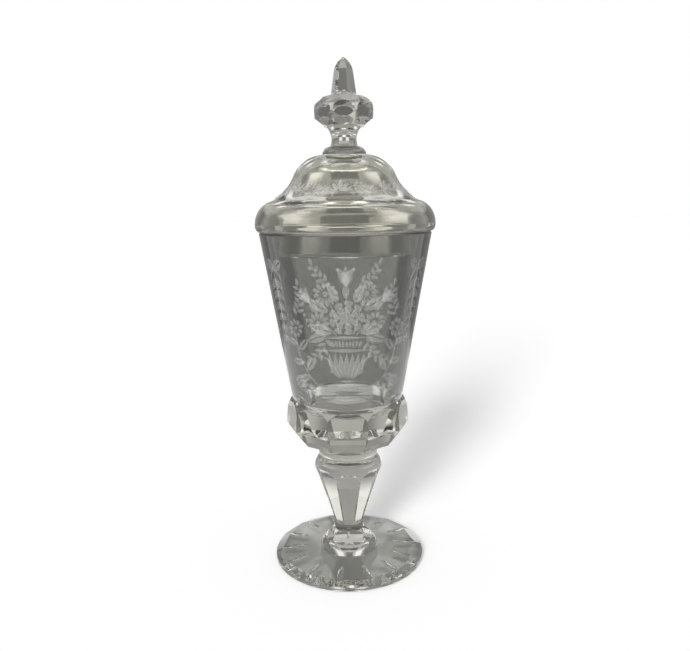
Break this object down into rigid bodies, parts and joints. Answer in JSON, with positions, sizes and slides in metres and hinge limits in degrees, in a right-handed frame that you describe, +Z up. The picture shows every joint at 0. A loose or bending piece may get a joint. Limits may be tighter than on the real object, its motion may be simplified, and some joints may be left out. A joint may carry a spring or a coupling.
{
  "type": "covered goblet",
  "caption": "Covered goblet of cut glass: a bevelled foot, panelled stem and faceted base carry a tapered bowl, closed by a lift-off domed lid with a faceted finial.",
  "frame": {"origin": "centre of the foot's underside, on the surface that the goblet stands on", "axes": "+Z up along the goblet's axis, -Y towards the front, where the main engraving is, +X to the right seen from the front"},
  "size_m": [0.0982, 0.0982, 0.2801],
  "materials": {
    "clear_glass": "polished clear glass with a faint grey-yellow tint, wheel-cut facets and matt wheel engraving"
  },
  "bodies": {
    "goblet": {"foot": "clear_glass", "foot_collar": "clear_glass", "stem": "clear_glass", "bowl_ring": "clear_glass", "bowl_base": "clear_glass", "bowl": "clear_glass"},
    "lid": {"lid_dome": "clear_glass", "lid_flange": "clear_glass", "finial_collar": "clear_glass", "finial_neck": "clear_glass", "finial_knop": "clear_glass", "finial_spire": "clear_glass"}
  },
  "joints": [
    {"name": "lid_lift", "type": "slide", "parent": "goblet", "child": "lid", "axis": [0, 0, 1], "range_m": [0, 0.12]}
  ]
}
